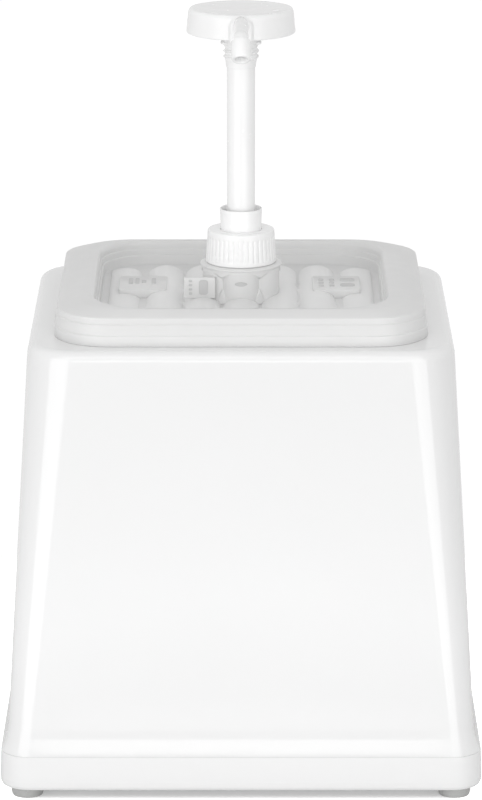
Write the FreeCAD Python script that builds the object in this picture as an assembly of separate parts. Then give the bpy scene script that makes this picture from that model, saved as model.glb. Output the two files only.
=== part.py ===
import FreeCAD, Part
import math
import os

# Condiment pump dispenser: a tapered counter housing that holds a one-sixth gastronorm
# container 200 mm deep, with a lid that carries a hand pump.
# Millimetres. +Z is up, -Y is the front (the side of the spout), and the origin is on the
# counter, below the middle of the housing.

Vector = FreeCAD.Vector
UP = Vector(0, 0, 1)

# ---- housing -------------------------------------------------------------------------
FOOT_HEIGHT = 5.4
FOOT_RADIUS = 8.0
FOOT_EDGE = 0.8                  # rounding of a foot's lower edge
FOOT_X, FOOT_Y = 107.0, 100.0    # feet and corner screws stand here
FOOT_BORE = 3.6                  # radius of the screw's pocket in a foot
BAND_WIDTH, BAND_DEPTH = 241.3, 227.3
BAND_RADIUS = 15.0
SEAM_Z = 23.3                    # the band's top edge, where the shell starts
SHELL_TOP_Z = 227.5
SHELL_FOOT = (234.2, 220.2, 12.0)    # width, depth and corner radius of the plain taper at the seam
SHELL_TOP = (211.0, 197.0, 23.0)     # the same at the top
SHELL_WALL = 3.0
FLARE_HEIGHT, FLARE_REACH = 14.0, 2.9
TOP_ROUNDING = 5.0
OPENING = (161.0, 147.0, 30.0)       # the top opening that the container hangs in
POST_RADIUS, POST_FOOT_Z, POST_HEIGHT = 4.5, 31.0, 40.0
BOSS_RADIUS = 5.0                    # tray bosses that meet the posts
OPENING_LIP = 2.2                    # thickness of the rolled lip round the opening
SCREW_RADIUS = 2.0
LIP_GAP = 0.9                        # between the tray's upright lip and the shell at the seam

# ---- container (gastronorm 1/6, 200 deep) --------------------------------------------
RIM_WIDTH, RIM_DEPTH, RIM_RADIUS = 176.0, 162.0, 25.0
RIM_THICKNESS = 3.0
CONTAINER_DEPTH = 200.0
CONTAINER_WALL = 2.4
CONTAINER_TOP = (158.0, 144.0, 28.0)
CONTAINER_FOOT = (134.0, 120.0, 24.0)
SHOULDER_DROP, SHOULDER_STEP = 30.0, 1.6

# ---- lid -----------------------------------------------------------------------------
LID_WIDTH, LID_DEPTH, LID_RADIUS = 186.0, 174.0, 28.0
LID_SKIRT_Z = SHELL_TOP_Z + 0.5
LID_TOP_Z = 244.8
LID_WALL = 2.2
LID_RIB = 0.9                        # half thickness of the ribs under the raised ring
RECESS = (144.5, 149.0, 27.0)
RECESS_FLOOR_Z = 232.3
PLUG = (148.5, 134.5, 25.0)          # the lip that plugs into the container
PLUG_Z = 221.5
RIDGE_PITCH = 19.5
RIDGE_RADIUS = 12.5
RIDGE_CREST_Z = 236.2
OUTER_RIDGE_DROP = 1.4
RIDGE_HALF_LENGTH = 54.7
RIDGE_BLOCK_HALF = 67.0
PADS = ((-62.5, -38.0, -3.0, 28.0), (36.5, 61.0, -3.0, 28.0))    # flat pads: x from, to, y from, to
PAD_TOP_Z = 236.6
UPRIGHT_PAD = (-29.0, -13.0, -17.8, -14.6)    # the pad that stands up beside the neck
UPRIGHT_PAD_TOP_Z = 246.4
PILLAR_RADIUS, PILLAR_ORBIT, PILLAR_TOP_Z = 10.6, 10.2, 248.8    # six pillars round the neck
NECK_CORE_RADIUS = 18.6
NECK_BAND_RADIUS, NECK_BAND_Z = 20.1, 246.2
NECK_RING_RADIUS, NECK_RING_FOOT_Z, NECK_RING_Z = 20.7, 249.7, 250.9
GASKET_FOOT_Z, GASKET_TOP_Z = 226.0, 229.0
NECK_TOP_Z = 261.0
NECK_BORE = 13.6
NECK_ROOT = 14.4
NECK_CREST = 15.2
NECK_THREAD_PITCH = 3.0

# ---- pump ----------------------------------------------------------------------------
NUT_BOTTOM_Z, NUT_TOP_Z = 251.3, 268.1
NUT_FOOT_RADIUS, NUT_HEAD_RADIUS = 18.0, 16.9
NUT_BORE = 16.1
NUT_RIBS = 40
COLLAR_TOP_Z, COLLAR_RADIUS, COLLAR_FOOT_RADIUS = 278.8, 10.7, 10.2
COLLAR_BORE = 9.45
CYLINDER_RADIUS, CYLINDER_BORE = 13.0, 11.0
CYLINDER_FLOOR_Z = 140.0
CYLINDER_FOOT_Z, SEAT_Z = 118.0, 130.0    # end of the dip-tube spigot and the inlet ball's seat
FLANGE_RADIUS, FLANGE_THICKNESS = 15.4, 1.6
STEM_RADIUS, STEM_BORE = 7.1, 3.5
STEM_BALL_BORE = 4.6                 # the wider bore round the outlet ball
STEM_TOP_Z = 366.0
STEM_FOOT_Z = 250.0
DIP_RADIUS, DIP_BORE = 5.5, 4.0
DIP_FOOT_Z = 37.0
BALL_RADIUS = 4.0
INLET_BALL_Z, OUTLET_BALL_Z = 133.2, 255.7    # each ball's centre when it rests on its seat
STEM_BALL_ROOM_Z = 262.5             # the stem's bore narrows here and stops the outlet ball
SPRING_WIRE, SPRING_COIL, SPRING_TURNS = 0.9, 8.6, 10
PISTON_FOOT_Z = 246.0
LOCK_ROOT, LOCK_CREST = 8.05, 9.05
LOCK_THREAD_LEAD = 5.6
LOCK_FOOT_Z, LOCK_SHOULDER_RADIUS = 351.5, 8.7
LUG_RADIUS, LUG_HALF_WIDTH = 10.3, 4.0
LUG_FOOT_Z, LUG_TOP_Z = 362.95, 364.6
KNOB_RADIUS, KNOB_BOTTOM_Z, KNOB_RIM_Z = 27.4, 369.3, 381.8
HUB_RADIUS, HUB_FLOOR_Z = 11.2, 371.0    # the knob's central hub and the seat of the neck in it
SPOUT_Z = 377.9                      # height of the spout's axis where it leaves the knob
SPOUT_SLOPE = 0.5                    # degrees below level
SPOUT_RADIUS, SPOUT_BORE = 3.6, 2.3
ELBOW_Y = -68.5
TIP_SLOPE, TIP_LENGTH = 52.0, 10.3   # the tip turns down by this many degrees below level
TIP_OFFSET, TIP_BORE_OFFSET = 1.0, 4.0    # where the wide tip and its wide bore start past the elbow
TIP_RADIUS, TIP_BORE = 4.8, 2.9
FAIRING_RADIUS, FAIRING_REACH = 6.3, 28.2    # round shoulder on the knob where the spout leaves it

RUNNING_GAP = 0.05                   # radial gap of a running fit


# ---- helpers -------------------------------------------------------------------------
def rounded_rectangle(width, depth, radius, z):
    """Wire of a rectangle with round corners, centred on the vertical axis."""
    x, y = width / 2 - radius, depth / 2 - radius
    centres = [(x, y), (-x, y), (-x, -y), (x, -y)]
    arcs = [Part.makeCircle(radius, Vector(cx, cy, z), UP, 90 * k, 90 * k + 90)
            for k, (cx, cy) in enumerate(centres)]
    edges = []
    for k, arc in enumerate(arcs):
        following = arcs[(k + 1) % 4]
        edges.append(arc)
        edges.append(Part.makeLine(arc.valueAt(arc.LastParameter),
                                   following.valueAt(following.FirstParameter)))
    return Part.Wire(edges)


def stack(sections):
    """Solid through rounded rectangles, each given as width, depth, radius, height."""
    return Part.makeLoft([rounded_rectangle(*section) for section in sections], True, True)


def inset(section, amount):
    """A rounded rectangle's width, depth and radius, drawn in by amount all round."""
    width, depth, radius = section
    return (width - 2 * amount, depth - 2 * amount, max(radius - amount, 1.0))


def between(low, high, share):
    """The rounded rectangle that lies at a share of the way from low to high."""
    return tuple(a + (b - a) * share for a, b in zip(low, high))


def revolve(points):
    """Solid of revolution about Z from (radius, height) corners."""
    corners = [Vector(r, 0, z) for r, z in points]
    face = Part.Face(Part.makePolygon(corners + corners[:1]))
    return face.revolve(Vector(0, 0, 0), UP, 360)


def rod(radius, low, high, x=0.0, y=0.0):
    return Part.makeCylinder(radius, high - low, Vector(x, y, low))


def tube(radius, bore, low, high, x=0.0, y=0.0):
    return rod(radius, low, high, x, y).cut(rod(bore, low - 1, high + 1, x, y))


def block(x0, x1, y0, y1, z0, z1):
    return Part.makeBox(x1 - x0, y1 - y0, z1 - z0, Vector(x0, y0, z0))


def all_of(shapes):
    """Several solids joined into one."""
    return shapes[0].multiFuse(shapes[1:]) if len(shapes) > 1 else shapes[0]


def around(shape, count):
    """Copies of a shape turned evenly about Z."""
    copies = []
    for k in range(count):
        copy = shape.copy()
        copy.rotate(Vector(0, 0, 0), UP, 360.0 * k / count)
        copies.append(copy)
    return copies


def at_corners(shape_at):
    return [shape_at(sx * FOOT_X, sy * FOOT_Y) for sx in (-1, 1) for sy in (-1, 1)]


def helical_ridge(radius, height, half_width, lead, low, high, start=0.0):
    """Triangular ridge wound on a rod; its foot is sunk 0.3 mm into the rod."""
    helix = Part.makeHelix(lead, high - low, radius)
    helix.translate(Vector(0, 0, low))
    foot = radius - math.copysign(0.3, height)
    profile = Part.makePolygon([Vector(foot, 0, low - half_width),
                                Vector(radius + height, 0, low),
                                Vector(foot, 0, low + half_width),
                                Vector(foot, 0, low - half_width)])
    ridge = Part.Wire(helix).makePipeShell([profile], True, True)
    ridge.rotate(Vector(0, 0, 0), UP, start)
    return ridge


def single(shape):
    """The one solid of a finished shape, without its splitting edges where it stays valid."""
    merged = shape.copy().removeSplitter()
    if merged.isValid():
        shape = merged
    if len(shape.Solids) != 1 or not shape.isValid():
        raise RuntimeError("%d solids, valid %s" % (len(shape.Solids), shape.isValid()))
    return shape.Solids[0]


# ---- housing parts -------------------------------------------------------------------
def shell_section(z, drawn_in=0.0, flare=0.0):
    share = (z - SEAM_Z) / (SHELL_TOP_Z - SEAM_Z)
    return inset(between(SHELL_FOOT, SHELL_TOP, share), drawn_in - flare) + (z,)


def housing_shell():
    """Tapered cover, open below, with a rounded top edge and a rolled top opening."""
    flare_steps = [0.0, 0.15, 0.3, 0.5, 0.75, 1.0]
    outside = [shell_section(SEAM_Z + t * FLARE_HEIGHT, 0.0, FLARE_REACH * (1 - t) ** 2)
               for t in flare_steps]
    for degrees in (0, 20, 40, 60, 75, 90):
        turn = math.radians(degrees)
        height = SHELL_TOP_Z - TOP_ROUNDING * (1 - math.sin(turn))
        outside.append(shell_section(height, TOP_ROUNDING * (1 - math.cos(turn))))
    ceiling = SHELL_TOP_Z - SHELL_WALL
    inside = [shell_section(SEAM_Z, SHELL_WALL), shell_section(ceiling - 3, SHELL_WALL),
              shell_section(ceiling, SHELL_WALL + 3)]
    inside[0] = inside[0][:3] + (SEAM_Z - 1,)
    shell = stack(outside).cut(stack(inside))
    around_opening = inset(OPENING, -OPENING_LIP)
    lip = stack([around_opening + (SHELL_TOP_Z - 12,), around_opening + (SHELL_TOP_Z - 1,)])
    shell = shell.fuse(lip)
    shell = shell.cut(stack([OPENING + (SHELL_TOP_Z - 20,), OPENING + (SHELL_TOP_Z + 1,)]))

    def post(x, y):
        sx, sy = math.copysign(1, x), math.copysign(1, y)
        top = POST_FOOT_Z + POST_HEIGHT
        side_rib = block(min(x, x + sx * 7), max(x, x + sx * 7), y - 1, y + 1, POST_FOOT_Z, top)
        end_rib = block(x - 1, x + 1, min(y, y + sy * 7), max(y, y + sy * 7), POST_FOOT_Z, top)
        return rod(POST_RADIUS, POST_FOOT_Z, top, x, y).multiFuse([side_rib, end_rib])

    posts = all_of(at_corners(post)).common(stack(outside))
    shell = shell.fuse(posts)
    for hole in at_corners(lambda x, y: rod(SCREW_RADIUS + RUNNING_GAP, 30, 60, x, y)):
        shell = shell.cut(hole)
    return single(shell)


def base_tray():
    """Band and floor that close the housing from below."""
    edge = [(FOOT_HEIGHT, 2.4), (FOOT_HEIGHT + 0.7, 1.0), (FOOT_HEIGHT + 2.0, 0.25),
            (FOOT_HEIGHT + 4.6, 0.0), (SEAM_Z - 0.4, 0.4), (SEAM_Z, 0.75)]
    band = (BAND_WIDTH, BAND_DEPTH, BAND_RADIUS)
    tray = stack([inset(band, drawn_in) + (z,) for z, drawn_in in edge])
    floor = FOOT_HEIGHT + 3.0
    tray = tray.cut(stack([inset(band, 4.4) + (floor,), inset(band, 4.4) + (SEAM_Z + 1,)]))
    ribs = [block(-115, 115, y - 1, y + 1, floor - 1, floor + 6) for y in (-60, 0, 60)]
    ribs += [block(x - 1, x + 1, -108, 108, floor - 1, floor + 6) for x in (-60, 0, 60)]
    lip_x, lip_y = SHELL_FOOT[0] / 2 - SHELL_WALL - LIP_GAP, SHELL_FOOT[1] / 2 - SHELL_WALL - LIP_GAP
    for side in (-1, 1):
        outer, inner = side * lip_x, side * (lip_x - 2)
        ribs.append(block(min(outer, inner), max(outer, inner), -90, 90, floor - 1, SEAM_Z + 7))
        outer, inner = side * lip_y, side * (lip_y - 2)
        ribs.append(block(-96, 96, min(outer, inner), max(outer, inner), floor - 1, SEAM_Z + 7))
    bosses = at_corners(lambda x, y: rod(BOSS_RADIUS, floor - 1, POST_FOOT_Z, x, y))
    tray = tray.multiFuse(ribs + bosses)
    for hole in at_corners(lambda x, y: rod(SCREW_RADIUS + RUNNING_GAP, 0, 40, x, y)):
        tray = tray.cut(hole)
    return single(tray)


def foot(x, y):
    """Round rubber foot with a pocket for the screw's head and a hole for its shank."""
    pad = revolve([(0, 0), (FOOT_RADIUS - FOOT_EDGE, 0), (FOOT_RADIUS, FOOT_EDGE),
                   (FOOT_RADIUS, FOOT_HEIGHT), (0, FOOT_HEIGHT)])
    pad = pad.cut(rod(FOOT_BORE + 0.5, -1, 3.0)).cut(rod(SCREW_RADIUS + RUNNING_GAP, 0, 8))
    pad.translate(Vector(x, y, 0))
    return pad


def foot_washer(x, y):
    return tube(FOOT_BORE + 0.3, SCREW_RADIUS + 0.1, 2.3, 3.0, x, y)


def base_screw(x, y):
    """Pan-head screw from a foot up into the shell's corner post."""
    head = revolve([(0, 0.7), (2.4, 0.7), (3.3, 1.2), (3.3, 2.3), (0, 2.3)])
    slots = [block(-2, 2, -0.4, 0.4, 0, 1.6), block(-0.4, 0.4, -2, 2, 0, 1.6)]
    shank = revolve([(0, 2), (SCREW_RADIUS, 2), (SCREW_RADIUS, 52), (0.6, 56), (0, 56)])
    screw = head.fuse(shank).cut(slots[0]).cut(slots[1])
    screw.translate(Vector(x, y, 0))
    return screw


# ---- container and lid ---------------------------------------------------------------
RIM_TOP_Z = SHELL_TOP_Z + RIM_THICKNESS
CONTAINER_FOOT_Z = RIM_TOP_Z - CONTAINER_DEPTH


def container_sections(drawn_in, foot_z, top_z):
    """Taper, shoulder and rounded foot of the container, drawn in by a wall."""
    shoulder_z = RIM_TOP_Z - SHOULDER_DROP
    share = (shoulder_z - CONTAINER_FOOT_Z) / CONTAINER_DEPTH
    shoulder = inset(between(CONTAINER_FOOT, CONTAINER_TOP, share), SHOULDER_STEP)
    steps = [(CONTAINER_FOOT, foot_z, 5.0), (CONTAINER_FOOT, foot_z + 0.8, 2.4),
             (CONTAINER_FOOT, foot_z + 2.4, 0.8), (CONTAINER_FOOT, foot_z + 5, 0.0),
             (shoulder, shoulder_z - 1.5, 0.0),
             (between(CONTAINER_FOOT, CONTAINER_TOP, share), shoulder_z, 0.0),
             (CONTAINER_TOP, top_z, 0.0)]
    return [inset(section, drawn_in + extra) + (z,) for section, z, extra in steps]


def food_container():
    """Gastronorm container: a tapered tub with a flat rim and a stacking shoulder."""
    tub = stack(container_sections(0.0, CONTAINER_FOOT_Z, RIM_TOP_Z))
    rim = (RIM_WIDTH, RIM_DEPTH, RIM_RADIUS)
    flange = stack([inset(rim, 0.5) + (SHELL_TOP_Z,), rim + (SHELL_TOP_Z + 0.6,),
                    rim + (RIM_TOP_Z - 0.6,), inset(rim, 0.5) + (RIM_TOP_Z,)])
    hollow = stack(container_sections(CONTAINER_WALL, CONTAINER_FOOT_Z + CONTAINER_WALL, RIM_TOP_Z + 0.5))
    return single(tub.fuse(flange).cut(hollow))


def ridge_block():
    """Low block with round ridges that run from front to back."""
    valley_z = RIDGE_CREST_Z - RIDGE_RADIUS + math.sqrt(RIDGE_RADIUS ** 2 - (RIDGE_PITCH / 2) ** 2)
    half = RIDGE_BLOCK_HALF
    outer_x = 3 * RIDGE_PITCH
    edges = []
    start = Vector(-half, 0, RIDGE_CREST_Z - OUTER_RIDGE_DROP - 1.0)
    first = start
    for k in range(-3, 4):
        centre = k * RIDGE_PITCH
        crest = RIDGE_CREST_Z
        end = Vector(centre + RIDGE_PITCH / 2, 0, valley_z)
        if abs(k) == 3:
            centre = math.copysign(outer_x + 1, k)
            crest -= OUTER_RIDGE_DROP
        if k == 3:
            end = Vector(half, 0, first.z)
        edges.append(Part.Arc(start, Vector(centre, 0, crest), end).toShape())
        start = end
    low = RIM_TOP_Z
    corners = [start, Vector(half + 1, 0, low), Vector(-half - 1, 0, low), first]
    edges += [Part.makeLine(a, b) for a, b in zip(corners, corners[1:])]
    face = Part.Face(Part.Wire(edges))
    face.translate(Vector(0, -RIDGE_HALF_LENGTH, 0))
    return face.extrude(Vector(0, 2 * RIDGE_HALF_LENGTH, 0))


def container_lid():
    """Cap-like lid: raised ring, sunk panel with ridges, plug lip and threaded pump neck."""
    lid = (LID_WIDTH, LID_DEPTH, LID_RADIUS)
    profile = [(LID_SKIRT_Z, 0.0), (232.6, 0.0), (233.0, 0.7), (238.2, 1.0), (238.7, 1.4),
               (241.2, 1.5), (241.7, 2.0), (242.9, 4.4), (244.1, 7.2), (LID_TOP_Z, 9.2)]
    body = stack([inset(lid, drawn_in) + (z,) for z, drawn_in in profile])
    ledge = inset(RECESS, 0.8)
    recess = stack([ledge + (RECESS_FLOOR_Z,), ledge + (238.0,), RECESS + (238.4,),
                    RECESS + (242.8,), inset(RECESS, -0.5) + (244.1,), inset(RECESS, -1.6) + (LID_TOP_Z,),
                    inset(RECESS, -1.7) + (LID_TOP_Z + 0.5,)])
    hollow = stack([inset(lid, LID_WALL) + (LID_SKIRT_Z - 1,), inset(lid, LID_WALL) + (232.0,),
                    inset(lid, LID_WALL + 0.8) + (239.0,),
                    inset(lid, LID_WALL + 5.0) + (LID_TOP_Z - LID_WALL,)])
    inner_wall = inset(RECESS, -LID_WALL)
    middle = stack([inner_wall + (RIM_TOP_Z,), inner_wall + (LID_TOP_Z - 0.5,)])
    body = body.cut(hollow.cut(middle))
    body = body.cut(recess)
    plug = stack([PLUG + (PLUG_Z,), PLUG + (RIM_TOP_Z + 1,)])
    plug_hollow = stack([inset(PLUG, 2.0) + (PLUG_Z - 1,), inset(PLUG, 2.0) + (RIM_TOP_Z,)])
    groove = stack([inset(PLUG, -5) + (GASKET_FOOT_Z,), inset(PLUG, -5) + (GASKET_TOP_Z,)])
    groove = groove.cut(stack([inset(PLUG, 0.8) + (GASKET_FOOT_Z - 1,),
                               inset(PLUG, 0.8) + (GASKET_TOP_Z + 1,)]))
    body = body.cut(stack([inset(lid, LID_WALL) + (LID_SKIRT_Z - 1,), inset(lid, LID_WALL) + (RIM_TOP_Z,)]))
    body = body.fuse(plug.cut(plug_hollow).cut(groove))
    ribs = []
    rib_top = LID_TOP_Z - LID_WALL - 0.6
    for side in (-1, 1):
        for x in (-45, 0, 45):
            middle_y = side * 79.5
            ribs.append(block(x - LID_RIB, x + LID_RIB, middle_y - 3.5, middle_y + 3.5, RIM_TOP_Z, rib_top))
        for y in (-40, 0, 40):
            middle_x = side * 81.0
            ribs.append(block(middle_x - 7.5, middle_x + 7.5, y - LID_RIB, y + LID_RIB, RIM_TOP_Z, rib_top))
    body = body.multiFuse(ribs)
    ridges = ridge_block()
    tunnels = [Part.makeCylinder(RIDGE_RADIUS - 1.9, 2 * RIDGE_HALF_LENGTH - 4,
                                 Vector(k * RIDGE_PITCH, 2 - RIDGE_HALF_LENGTH, RIDGE_CREST_Z - RIDGE_RADIUS),
                                 Vector(0, 1, 0)) for k in (-2, -1, 0, 1, 2)]
    pads = [block(*pad, RIM_TOP_Z, PAD_TOP_Z) for pad in PADS]
    pads.append(block(*UPRIGHT_PAD, RIM_TOP_Z, UPRIGHT_PAD_TOP_Z))
    pillars = around(rod(PILLAR_RADIUS, RIM_TOP_Z, PILLAR_TOP_Z, PILLAR_ORBIT, 0), 6)
    for pillar in pillars:
        pillar.rotate(Vector(0, 0, 0), UP, 30)
    neck = [rod(NECK_CORE_RADIUS, RIM_TOP_Z, NECK_RING_Z), rod(NECK_BAND_RADIUS, NECK_BAND_Z, NECK_RING_Z),
            rod(NECK_RING_RADIUS, NECK_RING_FOOT_Z, NECK_RING_Z), rod(NECK_ROOT, RIM_TOP_Z, NECK_TOP_Z)]
    body = body.multiFuse([ridges] + pads)
    body = body.cut(Part.makeCompound([t.cut(rod(NECK_RING_RADIUS + 0.8, 200, 260)) for t in tunnels]))
    body = body.multiFuse(pillars + neck)
    thread = helical_ridge(NECK_ROOT, NECK_CREST - NECK_ROOT, 0.9, NECK_THREAD_PITCH,
                           NECK_RING_Z + 1.8, NECK_TOP_Z - 1.4)
    body = body.fuse(thread)
    body = body.cut(rod(NECK_BORE, PLUG_Z - 5, NECK_TOP_Z + 5))
    return single(body)


def lid_gasket():
    """Silicone ring in the plug lip's groove."""
    outer, inner = inset(PLUG, -1.4), inset(PLUG, 0.8 - RUNNING_GAP)
    ring = stack([inset(outer, 0.6) + (GASKET_FOOT_Z,), outer + (GASKET_FOOT_Z + 1.2,),
                  outer + (GASKET_TOP_Z - 1.2,), inset(outer, 0.6) + (GASKET_TOP_Z,)])
    return single(ring.cut(stack([inner + (GASKET_FOOT_Z - 1,), inner + (GASKET_TOP_Z + 1,)])))


# ---- pump: fixed parts ---------------------------------------------------------------
FLANGE_Z = NECK_TOP_Z + 1.5          # underside of the cylinder's flange, on the neck washer
NUT_CEILING_Z = NUT_TOP_Z - 1.6


def neck_washer():
    return tube(FLANGE_RADIUS, NECK_BORE + 0.1, NECK_TOP_Z, FLANGE_Z)


def closure_nut():
    """Ribbed nut that clamps the pump on the lid's neck."""
    rib_foot, rib_head = NUT_BOTTOM_Z + 2.2, NUT_TOP_Z - 3.4
    slope = (NUT_FOOT_RADIUS - NUT_HEAD_RADIUS) / (NUT_TOP_Z - NUT_BOTTOM_Z)

    def skin(z):
        return NUT_FOOT_RADIUS - slope * (z - NUT_BOTTOM_Z)

    nut = revolve([(0, NUT_BOTTOM_Z), (NUT_FOOT_RADIUS - 0.4, NUT_BOTTOM_Z),
                   (NUT_FOOT_RADIUS, NUT_BOTTOM_Z + 0.5),
                   (skin(NUT_TOP_Z - 1.2), NUT_TOP_Z - 1.2), (skin(NUT_TOP_Z) - 0.4, NUT_TOP_Z - 0.3),
                   (skin(NUT_TOP_Z) - 1.2, NUT_TOP_Z), (0, NUT_TOP_Z)])
    flute = Part.makeCylinder(0.62, rib_head - rib_foot, Vector(skin(rib_foot) + 0.28, 0, rib_foot),
                              Vector(-slope, 0, 1))
    nut = nut.cut(Part.makeCompound(around(flute, NUT_RIBS)))
    nut = nut.cut(rod(NUT_BORE, NUT_BOTTOM_Z - 1, NUT_CEILING_Z))
    nut = nut.cut(rod(COLLAR_FOOT_RADIUS + 0.3, NUT_BOTTOM_Z, NUT_TOP_Z + 1))
    thread = helical_ridge(NUT_BORE, -(NUT_BORE - NECK_CREST - 0.15), 0.7, NECK_THREAD_PITCH,
                           NUT_BOTTOM_Z + 2.6, NUT_BOTTOM_Z + 8.6)
    return single(nut.fuse(thread))


def pump_cylinder():
    """Barrel that hangs through the neck, with its flange, valve seat and dip-tube spigot."""
    outline = [(0, CYLINDER_FOOT_Z), (4.0, CYLINDER_FOOT_Z), (4.0, SEAT_Z - 2), (7.0, SEAT_Z + 1),
               (7.0, CYLINDER_FLOOR_Z - 6),
               (CYLINDER_RADIUS, CYLINDER_FLOOR_Z - 2), (CYLINDER_RADIUS, FLANGE_Z),
               (FLANGE_RADIUS, FLANGE_Z), (FLANGE_RADIUS, FLANGE_Z + FLANGE_THICKNESS),
               (0, FLANGE_Z + FLANGE_THICKNESS)]
    ball_room = BALL_RADIUS + 0.5
    hollow = [(0, CYLINDER_FOOT_Z - 1), (2.6, CYLINDER_FOOT_Z - 1), (2.6, SEAT_Z),
              (ball_room, SEAT_Z + 2.2), (ball_room, CYLINDER_FLOOR_Z),
              (CYLINDER_BORE, CYLINDER_FLOOR_Z), (CYLINDER_BORE, FLANGE_Z + 3), (0, FLANGE_Z + 3)]
    return single(revolve(outline).cut(revolve(hollow)))


def pump_collar():
    """Guide bush above the cylinder, with the mouth that the head locks into."""
    foot_z = FLANGE_Z + FLANGE_THICKNESS
    bush = revolve([(0, foot_z), (FLANGE_RADIUS, foot_z), (FLANGE_RADIUS, NUT_CEILING_Z),
                    (COLLAR_FOOT_RADIUS, NUT_CEILING_Z),
                    (COLLAR_RADIUS, COLLAR_TOP_Z - 0.5), (COLLAR_RADIUS - 0.4, COLLAR_TOP_Z),
                    (0, COLLAR_TOP_Z)])
    plug = rod(CYLINDER_BORE - 0.02, foot_z - 5.0, foot_z + 0.5)
    mouth = rod(COLLAR_BORE, foot_z + 3.2, COLLAR_TOP_Z + 1)
    bush = bush.fuse(plug).cut(mouth).cut(rod(STEM_RADIUS + RUNNING_GAP, foot_z - 7, COLLAR_TOP_Z))
    groove = helical_ridge(COLLAR_BORE, 0.55, 0.6, LOCK_THREAD_LEAD, foot_z + 5, COLLAR_TOP_Z - 1.5)
    return single(bush.cut(groove))


def inlet_valve_cage():
    """Perforated disc over the inlet ball, which is also the spring's seat."""
    seat = tube(CYLINDER_BORE - 0.1, 3.0, CYLINDER_FLOOR_Z, CYLINDER_FLOOR_Z + 1.6)
    ports = around(rod(1.2, CYLINDER_FLOOR_Z - 1, CYLINDER_FLOOR_Z + 3, 4.9), 6)
    return single(seat.cut(Part.makeCompound(ports)))


def valve_ball(z):
    return Part.makeSphere(BALL_RADIUS, Vector(0, 0, z))


def return_spring():
    """Compression spring between the valve cage and the piston."""
    low = CYLINDER_FLOOR_Z + 1.6 + SPRING_WIRE
    high = PISTON_FOOT_Z - SPRING_WIRE
    helix = Part.makeHelix((high - low) / SPRING_TURNS, high - low, SPRING_COIL)
    helix.translate(Vector(0, 0, low))
    section = Part.Wire(Part.makeCircle(SPRING_WIRE, Vector(SPRING_COIL, 0, low), Vector(0, 1, 0)))
    return single(Part.Wire(helix).makePipeShell([section], True, True))


def dip_tube():
    """Suction tube with notches cut in its foot."""
    pipe = tube(DIP_RADIUS, DIP_BORE + RUNNING_GAP, DIP_FOOT_Z, 127.5)
    notch = block(-10, 10, -1.5, 1.5, DIP_FOOT_Z - 1, DIP_FOOT_Z + 4)
    turned = notch.copy()
    turned.rotate(Vector(0, 0, 0), UP, 90)
    return single(pipe.cut(notch).cut(turned))


# ---- pump: moving parts --------------------------------------------------------------
def piston():
    """Cup piston with two sealing lips and a groove for the ring."""
    skin = CYLINDER_BORE - RUNNING_GAP
    outline = [(0, PISTON_FOOT_Z), (skin, PISTON_FOOT_Z), (skin, PISTON_FOOT_Z + 2),
               (9.4, PISTON_FOOT_Z + 2.6), (9.4, PISTON_FOOT_Z + 5),
               (skin, PISTON_FOOT_Z + 5.6), (skin, PISTON_FOOT_Z + 8),
               (8.6, PISTON_FOOT_Z + 9.5), (8.6, PISTON_FOOT_Z + 11), (0, PISTON_FOOT_Z + 11)]
    hollow = [(0, PISTON_FOOT_Z - 1), (4.0, PISTON_FOOT_Z - 1), (4.0, STEM_FOOT_Z),
              (STEM_RADIUS + RUNNING_GAP, STEM_FOOT_Z), (STEM_RADIUS + RUNNING_GAP, 262), (0, 262)]
    return single(revolve(outline).cut(revolve(hollow)))


def piston_ring():
    return tube(CYLINDER_BORE - RUNNING_GAP, 9.45, PISTON_FOOT_Z + 2.75, PISTON_FOOT_Z + 4.85)


def pump_stem():
    """Hollow stem from the piston to the knob."""
    stem = tube(STEM_RADIUS, STEM_BORE, STEM_FOOT_Z, STEM_TOP_Z)
    return single(stem.cut(rod(STEM_BALL_BORE, STEM_FOOT_Z - 1, STEM_BALL_ROOM_Z)))


def outlet_valve_seat():
    """Bush in the stem's foot that the outlet ball rests on."""
    bush = tube(STEM_BALL_BORE - 0.02, 2.4, STEM_FOOT_Z, STEM_FOOT_Z + 4.5)
    return single(bush.cut(Part.makeCone(2.4, STEM_BALL_BORE, 2.6, Vector(0, 0, STEM_FOOT_Z + 2.2))))


def lock_neck():
    """Threaded neck under the knob, with two side lugs that stop on the collar."""
    neck = revolve([(0, LOCK_FOOT_Z), (7.5, LOCK_FOOT_Z), (7.7, LOCK_FOOT_Z + 3),
                    (LOCK_ROOT, LOCK_FOOT_Z + 3.8),
                    (LOCK_ROOT, LUG_FOOT_Z - 1), (LOCK_SHOULDER_RADIUS, LUG_FOOT_Z),
                    (LOCK_SHOULDER_RADIUS, LUG_TOP_Z), (9.0, LUG_TOP_Z), (9.0, HUB_FLOOR_Z),
                    (0, HUB_FLOOR_Z)])
    lugs = rod(LUG_RADIUS, LUG_FOOT_Z, LUG_TOP_Z).common(
        block(-LUG_RADIUS, LUG_RADIUS, -LUG_HALF_WIDTH, LUG_HALF_WIDTH, LUG_FOOT_Z, LUG_TOP_Z))
    threads = [helical_ridge(LOCK_ROOT, LOCK_CREST - LOCK_ROOT, 0.75, LOCK_THREAD_LEAD, 356.4, 360.4, start)
               for start in (0, 180)]
    neck = neck.multiFuse([lugs] + threads)
    neck = neck.cut(rod(STEM_RADIUS + 0.02, LOCK_FOOT_Z - 1, STEM_TOP_Z + 0.02))
    return single(neck.cut(rod(STEM_BORE, STEM_TOP_Z, HUB_FLOOR_Z + 1)))


def sloped_rod(radius, start, length, degrees):
    """Rod in the plane x = 0 that leaves start towards the front, sloping down."""
    turn = math.radians(degrees)
    return Part.makeCylinder(radius, length, start, Vector(0, -math.cos(turn), -math.sin(turn)))


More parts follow.
